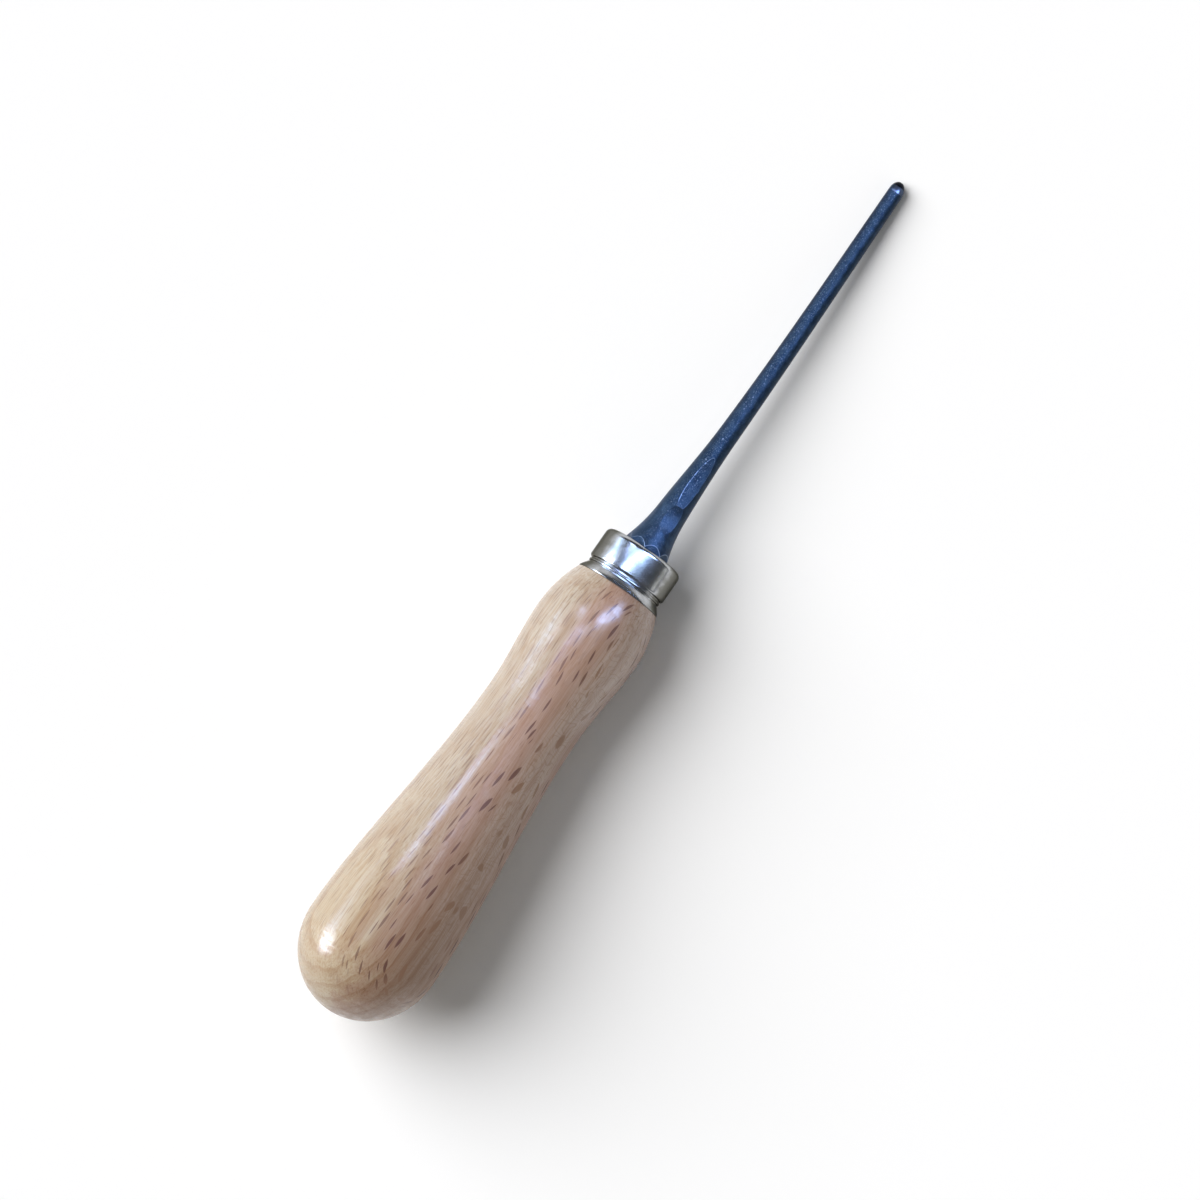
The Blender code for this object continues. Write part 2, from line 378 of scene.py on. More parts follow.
@dataclass(frozen=True)
class Finish:
    """A procedural finish that reads the place on the tool."""

    name: str

    def material(self, tool: ToolAxis) -> bpy.types.Material:
        """Make the material.

        Args:
            tool: The tool's axes, which the pattern follows.

        Returns:
            The material.
        """
        made = bpy.data.materials.new(self.name)
        made.use_nodes = True
        graph = Graph(made.node_tree)
        shader = self.shader(Place.on(graph, tool))
        graph.node("ShaderNodeOutputMaterial", None, {"Surface": shader})
        return made

    def shader(self, place: Place) -> Sock:
        """Build the surface shader."""
        raise NotImplementedError


@dataclass(frozen=True)
class LacqueredBeech(Finish):
    """Clear lacquered beech, whose rays show as dark dashes end on and as a pale figure side on, with
    painted light and shade: paler on the left, darker on the upper right, and a painted sheen side
    on.
    """

    name: str = "lacquered_beech"
    # cream is partly the wood's tone and partly painted light on the lit left; rosy is partly painted
    # shade on the upper right.
    cream_and_painted_light: Colour = (0.465, 0.399, 0.324)
    golden: Colour = (0.47, 0.386, 0.275)
    rosy_and_painted_shade: Colour = (0.435, 0.300, 0.236)
    umber: Colour = (0.360, 0.243, 0.172)
    # silver is partly the rays' real figure and partly a painted sheen.
    silver_and_sheen: Colour = (0.60, 0.490, 0.425)
    fibre_tint: Colour = (0.84, 0.74, 0.65)
    pore_tint: Colour = (0.58, 0.44, 0.36)
    ring_tint: Colour = (0.74, 0.60, 0.50)
    ray_end: Colour = (0.125, 0.056, 0.043)
    ray_side: Colour = (0.30, 0.165, 0.100)
    ray_turn: float = 45.0
    ray_pitch: float = 5.2
    ray_spacing: float = 0.85
    ray_layer: float = 2.0
    ray_half_length: float = 2.1
    ray_half_width: float = 0.17
    ray_half_height: float = 1.15
    ring_width: float = 2.4
    relief_depth: float = 0.000030
    wood_specular: float = 0.25
    coat_roughness: float = 0.21
    coat_ior: float = 1.55

    def rays(self, block: Place) -> Sock:
        """Thin upright lenses of denser wood, scattered through the block.

        Args:
            block: Place along the grain, along the rays and across them.

        Returns:
            1 inside a ray, 0 outside.
        """
        graph = block.graph
        across, inwards = block.up / self.ray_spacing, block.left / self.ray_layer
        row, layer = graph.math("FLOOR", across), graph.math("FLOOR", inwards)
        shift, _, _ = graph.chance(graph.vector(row, layer, 0.5))
        pitch = block.along / self.ray_pitch + shift * 9.0
        size, slide, drift = graph.chance(graph.vector(row, layer, graph.math("FLOOR", pitch)))
        length = graph.math("FRACT", pitch) - 0.42 - slide * 0.16
        width = graph.math("FRACT", across) - 0.2 - drift * 0.6
        height = graph.math("FRACT", inwards) - 0.5
        length = length * (self.ray_pitch / self.ray_half_length)
        width = width * (self.ray_spacing / self.ray_half_width)
        height = height * (self.ray_layer / self.ray_half_height)
        lens = (length * length + abs(width)) / (0.55 + size * 0.65) + height * height
        return lens.over(1.05, 0.70) * size.over(0.22, 0.26)

    def shader(self, place: Place) -> Sock:
        """Build the wood.

        Args:
            place: Place on the tool.

        Returns:
            The shader.
        """
        graph = place.graph
        turn = math.radians(self.ray_turn)
        along, reach = place.along, place.reach()
        radial = place.up * math.cos(turn) + place.left * math.sin(turn)
        tangent = place.up * math.sin(turn) - place.left * math.cos(turn)
        lean = tangent / reach
        end_on = abs(radial / reach)
        wander = Place(along, radial, tangent).noise((0.035, 0.12, 0.12))
        side = tangent + wander * 1.6
        depth = radial + wander * 2.2
        block = Place(along, depth, side)

        fibre = block.noise((0.035, 3.4, 3.4), 3.0, 0.6)
        pore = block.noise((0.22, 4.6, 4.6), 1.0)
        band = block.noise((0.020, 0.42, 0.42), 3.0, 0.55)
        ring = graph.math("FRACT", depth / self.ring_width + band * 0.8)
        late = ring.over(0.40, 0.92) * ring.over(1.0, 0.93)
        figure = end_on.over(0.45, 0.20)
        whorl = Place(along, side, depth).noise((0.20, 0.5, 0.20), 1.0)
        arc_line = abs(graph.math("FRACT", whorl * 15.0) - 0.5).over(0.34, 0.47) * figure
        ripple = place.noise((3.0, 0.40, 0.40), 2.0, 0.6)
        ray = self.rays(block)

        butt = along.over(-46.0, -92.0)
        # Painted light and shade: paler cream on the left, where the key lamp falls, rosier and
        # darker towards the upper right. This is partly the wood's own tone.
        rosy_and_shade_share = (lean + (band - 0.5) * 0.9 - butt * 0.22).over(0.18, 0.74)
        pale = graph.mix(butt, self.cream_and_painted_light, self.golden)
        base = graph.mix(rosy_and_shade_share, pale, graph.mix(butt, self.rosy_and_painted_shade, self.umber))
        # The pale silver of the side-on face is partly the rays' real figure and partly a painted
        # sheen of the lacquer. It also paints light on the right flank, where little lamp light
        # falls.
        figure_and_sheen = figure * (0.50 + band.over(0.22, 0.70) * 0.3) * (1.0 - butt * 0.85)
        base = graph.mix(figure_and_sheen, base, self.silver_and_sheen)
        base = graph.mix(along.over(-84.0, -97.0) * (0.45 - rosy_and_shade_share * 0.45), base, self.golden)
        base = graph.mix(fibre.over(0.34, 0.72), base, self.fibre_tint, "MULTIPLY")
        base = graph.mix(pore.over(0.60, 0.76) * 0.50, base, self.pore_tint, "MULTIPLY")
        base = graph.mix(late * (0.30 + butt * 0.25), base, self.ring_tint, "MULTIPLY")
        base = graph.mix(arc_line * 0.30 + ripple.over(0.45, 0.75) * 0.12, base, self.ray_side)
        dash = graph.mix(figure, self.ray_end, self.ray_side)
        shown = (0.90 - end_on.over(0.55, 1.0) * 0.50 - figure * 0.10) * along.over(-98.0, -90.0)
        base = graph.mix(ray * shown, base, dash)

        flank = place.left / reach - along.over(-66.0, -80.0) * 0.30
        grip = along.over(-30.0, -38.0) * along.over(-93.0, -86.0) * flank.over(0.24, 0.08)
        relief = ripple + fibre * 0.20 - ray * 0.25
        return graph.principled(
            {
                "Base Color": base,
                "Roughness": 0.42 + ripple * 0.10 + fibre * 0.06,
                "Normal": graph.bump(relief, self.relief_depth),
                "Coat Weight": (0.45 + ripple.over(0.62, 0.40) * 0.55) * (1.0 - grip * 0.85),
                "Coat Roughness": self.coat_roughness,
                "Coat IOR": self.coat_ior,
                "Specular IOR Level": self.wood_specular,
            }
        )


@dataclass(frozen=True)
class TurnedSteel(Finish):
    """Bare pressed steel, turned and lightly brushed round its axis, with a painted dark reflection
    on both flanks.
    """

    name: str = "turned_steel"
    bright: Colour = (0.56, 0.575, 0.60)
    dull: Colour = (0.30, 0.30, 0.285)
    edge: Colour = (0.36, 0.355, 0.33)
    # Painted dark reflection for the ferrule's flanks.
    flank_dark_reflection: Colour = (0.150, 0.146, 0.125)
    relief_depth: float = 0.000005

    def shader(self, place: Place) -> Sock:
        """Build the steel.

        Args:
            place: Place on the tool.

        Returns:
            The shader.
        """
        graph = place.graph
        lines = place.noise((22.0, 0.25, 0.25), 3.0, 0.7)
        smudge = place.noise((0.5, 0.35, 0.35), 4.0, 0.6)
        scuff = place.noise((1.4, 2.6, 2.6), 4.0, 0.65)
        flank = abs(place.left / place.reach()) + (smudge - 0.5) * 0.2
        tone = graph.mix(smudge.over(0.35, 0.70) * 0.6, self.bright, self.dull)
        tone = graph.mix(lines.over(0.52, 0.70) * 0.25, tone, self.dull)
        # Painted reflection: both flanks of the ferrule are darkened.
        tone = graph.mix(flank.over(0.66, 0.84) * 0.85, tone, self.flank_dark_reflection)
        return graph.principled(
            {
                "Base Color": tone,
                "Metallic": 1.0,
                "Specular Tint": self.edge,
                "Roughness": 0.13 + smudge * 0.12 + scuff * 0.07,
                "Normal": graph.bump(lines * 0.7 + scuff * 0.4, self.relief_depth, 0.7),
            }
        )


@dataclass(frozen=True)
class BluedForging(Finish):
    """Blue-black forged steel with fine scale, rubbed arrises and a polish on the nose, with painted
    highlights: glints along the top of the shank, brighter arrises on the lit side, and a bright
    middle and dark end on the nose.
    """

    name: str = "blued_forging"
    navy: Colour = (0.021, 0.042, 0.080)
    slate: Colour = (0.042, 0.075, 0.130)
    shaded_tint: Colour = (0.48, 0.48, 0.54)
    drawn_tint: Colour = (0.70, 0.72, 0.70)
    # soot is the colour of dark scale, and also paints a dark reflection at the nose's end.
    soot_and_dark_reflection: Colour = (0.010, 0.012, 0.020)
    # bare is the colour of rubbed steel, and also paints glints and lit arrises as painted
    # highlights.
    bare_and_glint: Colour = (0.34, 0.42, 0.56)
    # polished is the nose's polish, and also paints its highlight.
    polished_and_highlight: Colour = (0.20, 0.24, 0.34)
    nose_start: float = 79.30
    facet_length: float = 1.2
    relief_depth: float = 0.000036
    skin_specular: float = 0.15
    wear_name: str = "wear"

    def shader(self, place: Place) -> Sock:
        """Build the blued steel.

        Args:
            place: Place on the tool.

        Returns:
            The shader.
        """
        graph = place.graph
        along, left = place.along, place.left
        mottle = place.noise((0.6, 0.6, 0.6), 4.0, 0.62)
        streak = place.noise((0.35, 2.2, 2.2), 4.0, 0.65)
        grit = place.noise((4.5, 4.5, 4.5), 3.0, 0.7)
        grind = place.noise((16.0, 0.8, 0.8), 2.0, 0.6)
        flake_far, flake_kind = graph.cells(place.scaled(2.2, 2.8, 2.8))
        flake = flake_kind.over(0.35, 0.95) * flake_far.over(0.62, 0.30)
        speck_far, speck_kind = graph.cells(place.scaled(1.5, 1.9, 1.9))
        lean = left / place.reach()
        # Painted highlight: the top line of the shank, where the overhead highlight runs, gets bright
        # grit and glints.
        highlight_line = abs(lean - 0.05).over(0.75, 0.15)
        crest_highlight = abs(lean - 0.02).over(0.36, 0.12) * along.over(46.0, 20.0) * along.over(13.0, 17.0)
        glint_speck = speck_far.over(0.34, 0.14) * speck_kind.over(0.45, 0.60)
        glint_speck = glint_speck * (highlight_line * 0.25 + crest_highlight * 0.75)
        wear = graph.add("ShaderNodeAttribute", {"attribute_name": self.wear_name}, output="Fac")
        # The rubbed arrises are real wear. They are painted brighter on the lit left side and on the
        # left of the bolster's arches, as a painted highlight.
        arch = along.over(4.5, 3.8) * (0.35 + left.over(1.8, 0.8) * 0.65)
        lit_side = graph.math("MAXIMUM", left.over(-1.3, 0.3) * along.over(9.6, 12.6), arch)
        rubbed = (grit * 0.7 + streak * 0.5).over(0.48, 0.66) * (0.14 + lit_side * 0.86)
        rub_and_glint = wear * graph.math("MAXIMUM", rubbed, arch * 0.8)
        ragged = along + (grit - 0.5) * 0.5
        nose = ragged.over(self.nose_start - 0.05, self.nose_start + 0.12)
        nose_end = self.nose_start + self.facet_length
        # Painted reflection: the end of the nose is painted dark.
        dark_end_reflection = ragged.over(nose_end - 0.15, nose_end + 0.15)
        shaded = lean.over(0.10, 0.75) * along.over(6.0, 40.0)

        skin = graph.mix(mottle.over(0.32, 0.70), self.navy, self.slate)
        skin = graph.mix(flake * 0.45, skin, self.slate)
        skin = graph.mix(streak.over(0.54, 0.76) * 0.45, skin, self.soot_and_dark_reflection)
        skin = graph.mix(shaded, skin, self.shaded_tint, "MULTIPLY")
        skin = graph.mix(along.over(2.0, 12.0), skin, self.drawn_tint, "MULTIPLY")
        # Painted highlight: bright grit along the top line of the shank.
        skin = graph.mix(grit.over(0.53, 0.70) * (0.04 + highlight_line * 0.26), skin, self.bare_and_glint)
        skin = graph.mix(grit.over(0.48, 0.30) * 0.45, skin, self.navy)
        # Rubbed arrises: real wear with a painted highlight on the lit side.
        skin = graph.mix(rub_and_glint * 0.85, skin, self.bare_and_glint)
        # Painted glints along the top of the shank.
        skin = graph.mix(glint_speck * 0.6, skin, self.bare_and_glint)
        # Painted highlight on the nose: bright bluish across its middle and darker to the sides, over
        # its real polish. A painted dark reflection covers its end.
        facet_highlight = graph.mix(abs(lean + 0.1).over(0.85, 0.35), self.navy, self.polished_and_highlight)
        tone = graph.mix(nose, skin, graph.mix(dark_end_reflection, facet_highlight, self.soot_and_dark_reflection))
        dull = 0.34 + mottle * 0.14 + grit * 0.10 - rub_and_glint * 0.10
        relief = grit * 0.5 + flake * 0.4 + streak * 0.3 - glint_speck * 0.4
        return graph.principled(
            {
                "Base Color": tone,
                "Metallic": 0.55 + rub_and_glint * 0.40 + nose * 0.45,
                "Specular IOR Level": self.skin_specular,
                "Roughness": dull * (1.0 - nose) + nose * (0.26 + grind * 0.12),
                "Normal": graph.bump(relief * (1.0 - nose), self.relief_depth, 0.9),
            }
        )


@dataclass(frozen=True)
class PaleFloor(Finish):
    """Plain matt floor, the same all over."""

    name: str = "pale_floor"
    colour: Colour = (0.97, 0.97, 0.97)

    def shader(self, place: Place) -> Sock:
        """Build the floor's shader."""
        return place.graph.add("ShaderNodeBsdfDiffuse", None, {"Color": self.colour})


def deselect() -> None:
    """Leave edit mode and deselect everything."""
    if bpy.context.object and bpy.context.object.mode != "OBJECT":
        bpy.ops.object.mode_set(mode="OBJECT")
    bpy.ops.object.select_all(action="DESELECT")


def select_only(piece: Piece) -> None:
    """Make a piece the one that is selected and active.

    Args:
        piece: The piece.
    """
    deselect()
    piece.select_set(True)
    bpy.context.view_layer.objects.active = piece


def edit_all() -> None:
    """Enter edit mode with everything selected."""
    bpy.ops.object.mode_set(mode="EDIT")
    bpy.ops.mesh.select_all(action="SELECT")


def close_mesh() -> None:
    """Merge doubles, turn the faces outwards and leave edit mode."""
    bpy.ops.mesh.select_all(action="SELECT")
    bpy.ops.mesh.remove_doubles(threshold=MERGE_DISTANCE)
    bpy.ops.mesh.normals_make_consistent(inside=False)
    bpy.ops.object.mode_set(mode="OBJECT")


def lathe(name: str, outline: Sequence[Point], sides: int) -> Piece:
    """Turn a piece: draw its outline point by point and spin it round the X axis.

    Args:
        name: Name of the piece.
        outline: Points as (x, radius). A ring's outline ends on its first point.
        sides: Number of sides.

    Returns:
        The turned piece.
    """
    deselect()
    bpy.ops.mesh.primitive_plane_add(size=0.001)
    piece = bpy.context.active_object
    piece.name = name
    edit_all()
    bpy.ops.mesh.merge(type="CENTER")
    bpy.ops.transform.translate(value=(outline[0][0], 0.0, outline[0][1]))
    for (x, radius), (next_x, next_radius) in zip(outline, outline[1:]):
        step = (next_x - x, 0.0, next_radius - radius)
        bpy.ops.mesh.extrude_vertices_move(TRANSFORM_OT_translate={"value": step})
    bpy.ops.mesh.select_all(action="SELECT")
    bpy.ops.mesh.spin(steps=sides, angle=math.tau, center=(0.0, 0.0, 0.0), axis=(1.0, 0.0, 0.0))
    close_mesh()
    return piece


def select_faces(piece: Piece, chosen: FaceTest) -> None:
    """In edit mode, select some faces and nothing else.

    Args:
        piece: Piece in edit mode.
        chosen: Tells whether a face is one of them.
    """
    bpy.ops.mesh.select_all(action="DESELECT")
    bpy.ops.mesh.select_mode(type="FACE")
    for face in bmesh.from_edit_mesh(piece.data).faces:
        face.select_set(chosen(face))
    bmesh.update_edit_mesh(piece.data)


def install(
    piece: Piece, tool: ToolAxis, finish: Finish, node: Node, crease: float
) -> None:
    """Smooth a piece, lay it into the frame, dress it and let it stand for its CAD node.

    Args:
        piece: Piece on the tool's own axes.
        tool: The tool's axes in the frame.
        finish: Finish that it gets.
        node: CAD node that it stands for.
        crease: Angle past which an edge stays sharp, in degrees.
    """
    select_only(piece)
    bpy.ops.object.shade_smooth_by_angle(angle=math.radians(crease))
    piece.matrix_world = tool.matrix
    bpy.ops.object.transform_apply()
    piece.data.materials.clear()
    piece.data.materials.append(finish.material(tool))
    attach(piece, Body.TOOL.value)
    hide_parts(node.value)
    LOG.info("%s: %d faces, stands for %s", piece.name, len(piece.data.polygons), node.value)


@dataclass
class Ferrule:
    """Pressed steel cap: flat front, straight band, rolled groove with a bead, flared skirt."""

    length: float = 0.0087
    band_diameter: float = 0.0157
    band_length: float = 0.0061
    band_edge: float = 0.0005
    front_corner: float = 0.0010
    groove_diameter: float = 0.0146
    groove_width: float = 0.0011
    bead_radius: float = 0.00025
    skirt_diameter: float = 0.0150
    rim_diameter: float = 0.0168
    rim_round: float = 0.00018
    skirt_fall: float = 0.75
    rim_fall: float = 0.40
    sheet: float = 0.0006
    seat_diameter: float = 0.0102
    seat_depth: float = 0.0002
    hole_diameter: float = 0.0056
    crease: float = 32.0
    sides: int = 160
    steps: int = 8
    corner_steps: int = 10
    rim_steps: int = 5

    def outside(self) -> list[Point]:
        """Outer side, from the front face to the rim.

        Returns:
            Points as (x, radius).
        """
        band = self.band_diameter / 2.0
        groove = self.groove_diameter / 2.0
        groove_end = -self.band_length - self.groove_width
        bead_x = -self.band_length - self.groove_width / 2.0
        skirt = Station(groove_end, self.skirt_diameter / 2.0, -self.skirt_fall)
        rim = Station(-self.length + self.rim_round, self.rim_diameter / 2.0, -self.rim_fall)
        corner = (-self.front_corner, band - self.front_corner)
        edge = (-self.band_length + self.band_edge, band - self.band_edge)
        lip = (rim.x, rim.value - self.rim_round)
        points = arc(corner, self.front_corner, 0.0, 90.0, self.corner_steps)
        points += arc(edge, self.band_edge, 90.0, 180.0, self.steps)
        points.append((-self.band_length, groove))
        points += arc((bead_x, groove), self.bead_radius, 0.0, 180.0, self.steps)
        points += [(groove_end, groove), (skirt.x, skirt.value)]
        points += curve(skirt, rim, self.steps)
        return points + arc(lip, self.rim_round, 90.0, 180.0, self.rim_steps)[1:]

    def outline(self) -> list[Point]:
        """Closed section of the sheet.

        Returns:
            Points as (x, radius), the first one again at the end.
        """
        hole = self.hole_diameter / 2.0
        seat = self.seat_diameter / 2.0
        inside = self.band_diameter / 2.0 - self.sheet
        groove = self.groove_diameter / 2.0 - self.sheet
        back = -self.seat_depth - self.sheet
        front = [(back, hole), (-self.seat_depth, hole), (-self.seat_depth, seat)]
        front.append((0.0, seat + self.seat_depth))
        lining = [
            (-self.length, self.rim_diameter / 2.0 - self.sheet),
            (-self.band_length - self.groove_width, groove),
            (-self.band_length, groove),
            (-self.band_length + self.sheet, inside),
            (back, inside),
        ]
        return front + self.outside() + lining + front[:1]

    def build(self, tool: ToolAxis) -> None:
        """Turn the ferrule and dress it."""
        piece = lathe("ferrule_cap", self.outline(), self.sides)
        install(piece, tool, TurnedSteel(), Node.FERRULE, self.crease)


@dataclass
class Handle:
    """Turned handle: domed butt, belly, waist, shoulder, neck, and a spigot under the ferrule."""

    ferrule: Ferrule
    length: float = 0.1000
    belly_diameter: float = 0.0260
    belly_from_butt: float = 0.0140
    waist_diameter: float = 0.0189
    waist_from_face: float = 0.0350
    shoulder_diameter: float = 0.0210
    shoulder_from_face: float = 0.0185
    neck_fall: float = 0.45
    fit: float = 0.00005
    bore_diameter: float = 0.0055
    bore_depth: float = 0.0560
    crease: float = 40.0
    steps: int = 34
    sides: int = 160

    def outside(self) -> list[Point]:
        """Visible outline, from the point of the butt to the neck.

        Returns:
            Points as (x, radius).
        """
        belly = Station(self.belly_from_butt - self.length, self.belly_diameter / 2.0, 0.0)
        waist = Station(-self.waist_from_face, self.waist_diameter / 2.0, 0.0)
        shoulder = Station(-self.shoulder_from_face, self.shoulder_diameter / 2.0, 0.0)
        neck_x = -self.ferrule.length - self.fit
        neck = Station(neck_x, self.ferrule.rim_diameter / 2.0, -self.neck_fall)
        points = [(-self.length, 0.0)]
        for angle in spaced(0.0, 90.0, self.steps):
            turn = math.radians(angle)
            along = belly.x - self.belly_from_butt * math.cos(turn)
            points.append((along, belly.value * math.sin(turn)))
        points += curve(belly, waist, self.steps) + curve(waist, shoulder, self.steps)
        return points + curve(shoulder, neck, self.steps)

    def outline(self) -> list[Point]:
        """Visible outline, then the spigot with its crimp groove and the tang bore.

        Returns:
            Points as (x, radius), from axis to axis.
        """
        inset = self.ferrule.sheet + self.fit
        groove = self.ferrule.groove_diameter / 2.0 - inset
        spigot = self.ferrule.band_diameter / 2.0 - inset
        band = self.ferrule.band_length
        front = -self.ferrule.seat_depth - inset
        points = self.outside()
        neck_x, neck_radius = points[-1]
        points.append((neck_x, neck_radius - inset))
        points.append((-band - self.ferrule.groove_width - self.fit, groove))
        points += [(-band + self.fit, groove), (-band + inset, spigot), (front, spigot)]
        points.append((front, self.bore_diameter / 2.0))
        return points + [(-self.bore_depth, self.bore_diameter / 2.0), (-self.bore_depth, 0.0)]

    def build(self, tool: ToolAxis) -> None:
        """Turn the handle and dress it."""
        piece = lathe("beech_handle", self.outline(), self.sides)
        install(piece, tool, LacqueredBeech(), Node.HANDLE, self.crease)


@dataclass(frozen=True)
class GroundFlat:
    """A flat ground along the blade: ends, depth, turn to the tool's right and wear of its rim."""

    start: float
    end: float
    depth: float
    turn: float
    wear: float


@dataclass
class Blade:
    """One forging: square tang, octagonal bolster, throat with ground flats, round shank, nose."""

    length: float = 0.0815
    seat: float = -0.00018
    flare_diameter: float = 0.0094
    flare_fall: float = 0.36
    flare_length: float = 0.0085
    throat_diameter: float = 0.00584
    throat_fall: float = 0.06
    shank_start: float = 0.0260
    shank_diameter: float = 0.00394
    shank_fall: float = 0.018
    point_diameter: float = 0.0029
    point_fall: float = 0.008
    bolster_flats: float = 0.0083
    bolster_turn: float = 37.0
    bow_at_shank: float = 0.00034
    bow_rise: float = 0.018
    bow_at_point: float = 0.0002
    nose_length: float = 0.0021
    nose_skew: float = 0.00012
    edge_thickness: float = 0.00016
    edge_width: float = 0.0005
    nose_swell: float = 1.5
    bevel_rounding: float = 0.7
    flats: tuple[GroundFlat, ...] = (
        GroundFlat(0.0092, 0.0204, 0.00030, 12.0, 1.0),
        GroundFlat(0.0043, 0.0102, 0.00034, 12.0, 0.35),
    )
    tang_length: float = 0.0550
    tang_root: float = 0.0038
    tang_end: float = 0.0022
    arris: float = 0.00011
    crease: float = 11.0
    order_from: Triple = (-0.31, 0.0173, 0.0119)
    bolster_sides: int = 8
    wheel_sides: int = 720
    sides: int = 96
    steps: int = 26

    def radii(self) -> list[Station]:
        """Stations of the radius, from the bolster's seat to the start of the nose."""
        return [
            Station(self.seat, self.flare_diameter / 2.0, -self.flare_fall),
            Station(self.flare_length, self.throat_diameter / 2.0, -self.throat_fall),
            Station(self.shank_start, self.shank_diameter / 2.0, -self.shank_fall),
            Station(self.length - self.nose_length, self.point_diameter / 2.0, -self.point_fall),
        ]

    def bows(self) -> list[Station]:
        """Stations of the centre line's bow towards the tool's right."""
        return [
            Station(self.seat, 0.0, 0.0),
            Station(self.flare_length, 0.0, 0.0),
            Station(self.shank_start, self.bow_at_shank, self.bow_rise),
            Station(self.length - self.nose_length, self.bow_at_point, -self.point_fall),
        ]

    def radius_at(self, x: float) -> float:
        """Radius of the forging at a place behind the nose.

        Args:
            x: The place.

        Returns:
            The radius.
        """
        stations = self.radii()
        for start, end in zip(stations, stations[1:]):
            if x <= end.x:
                return hermite(start, end, x)
        return stations[-1].value

    def sections(self) -> list[Section]:
        """Sections of the forging.

        Returns:
            The sections in front of the seat, in order.
        """
        radii, bows = self.radii(), self.bows()
        made = []
        for index in range(len(radii) - 1):
            for x in spaced(radii[index].x, radii[index + 1].x, self.steps):
                radius = hermite(radii[index], radii[index + 1], x)
                made.append(Section(x, hermite(bows[index], bows[index + 1], x), radius, radius))
        point = radii[-1]
        edge = self.edge_thickness / 2.0
        last = math.acos(self.edge_width / self.point_diameter)
        for turn in spaced(0.0, last, self.steps):
            reach = math.sin(turn) / math.sin(last)
            share = (1.0 - reach**self.nose_swell) ** self.bevel_rounding
            height = edge + (point.value - edge) * share
            side = self.bow_at_point - self.nose_skew * reach
            x = point.x + self.nose_length * reach
            made.append(Section(x, side, point.value * math.cos(turn), height))
        return made

    def outside(self) -> list[Point]:
        """Outline of the underside as (x, half height)."""
        return [(section.x, section.height) for section in self.sections()]

    def draw_out(self) -> Piece:
        """Draw the forging out from the bolster's seat to the nose.

        Returns:
            The round forging.
        """
        deselect()
        radius = self.flare_diameter / 2.0
        bpy.ops.mesh.primitive_circle_add(
            vertices=self.sides,
            radius=radius,
            fill_type="NGON",
            location=(self.seat, 0.0, 0.0),
            rotation=(0.0, math.pi / 2.0, 0.0),
        )
        piece = bpy.context.active_object
        piece.name = "forged_blade"
        bpy.ops.object.transform_apply()
        edit_all()
        drawn = [Section(self.seat, 0.0, radius, radius)] + self.sections()
        for last, new in zip(drawn, drawn[1:]):
            step = (new.x - last.x, last.bow - new.bow, 0.0)
            bpy.ops.mesh.extrude_region_move(TRANSFORM_OT_translate={"value": step})
            grow = (1.0, new.width / last.width, new.height / last.height)
            bpy.ops.transform.resize(value=grow, center_override=(new.x, -new.bow, 0.0))
        close_mesh()
        return piece

    def weld_tang(self, piece: Piece) -> None:
        """Draw a tapered square bar and join it to the bolster's seat.

        Args:
            piece: The forging.
        """
        deselect()
        bpy.ops.mesh.primitive_cube_add(size=self.tang_root, location=(self.seat, 0.0, 0.0))
        bar = bpy.context.active_object
        bpy.ops.object.transform_apply()
        edit_all()
        select_faces(bar, lambda face: face.normal.x < -SAME_WAY)
        back = self.tang_root / 2.0 - self.tang_length - self.seat
        bpy.ops.transform.translate(value=(back, 0.0, 0.0))
        taper = self.tang_end / self.tang_root
        end = (-self.tang_length, 0.0, 0.0)
        bpy.ops.transform.resize(value=(1.0, taper, taper), center_override=end)
        bpy.ops.object.mode_set(mode="OBJECT")
        self.combine(piece, bar, "UNION")

    def combine(self, piece: Piece, other: Piece, operation: str) -> None:
        """Join or cut the forging with another body, which is used up, and set its mesh in order.

        Args:
            piece: The forging.
            other: Body to join or cut with.
            operation: Operation of the Boolean modifier.
        """
        select_only(piece)
        joint = piece.modifiers.new("boolean", "BOOLEAN")
        joint.operation, joint.solver, joint.object = operation, "EXACT", other
        bpy.ops.object.modifier_apply(modifier=joint.name)
        bpy.data.objects.remove(other, do_unlink=True)
        edit_all()
        bpy.context.scene.cursor.location = self.order_from
        bpy.ops.mesh.sort_elements(type="CURSOR_DISTANCE", elements={"VERT", "EDGE", "FACE"})
        bpy.ops.object.mode_set(mode="OBJECT")

    def forge_flats(self, piece: Piece) -> None:
        """Leave of the flare what fits in an octagonal bar, with a narrow arris along each flat.

        Args:
            piece: The forging.
        """
        deselect()
        sides = self.bolster_sides
        half = math.pi / sides
        corner = self.bolster_flats / 2.0 / math.cos(half)
        bpy.ops.mesh.primitive_cylinder_add(vertices=sides, radius=corner, depth=4.0 * self.length)
        octagon = bpy.context.active_object
        turn = math.radians(self.bolster_turn)
        lying = Matrix.Rotation(math.pi / 2.0, 4, "Y")
        octagon.matrix_world = Matrix.Rotation(turn, 4, "X") @ lying
        self.combine(piece, octagon, "INTERSECT")
        for index in range(sides):
            angle = turn + half + index * 2.0 * half
            out = Vector((0.0, math.cos(angle), math.sin(angle)))
            self.rim(piece, lambda face: face.normal.dot(out) > SAME_WAY, 1.0)

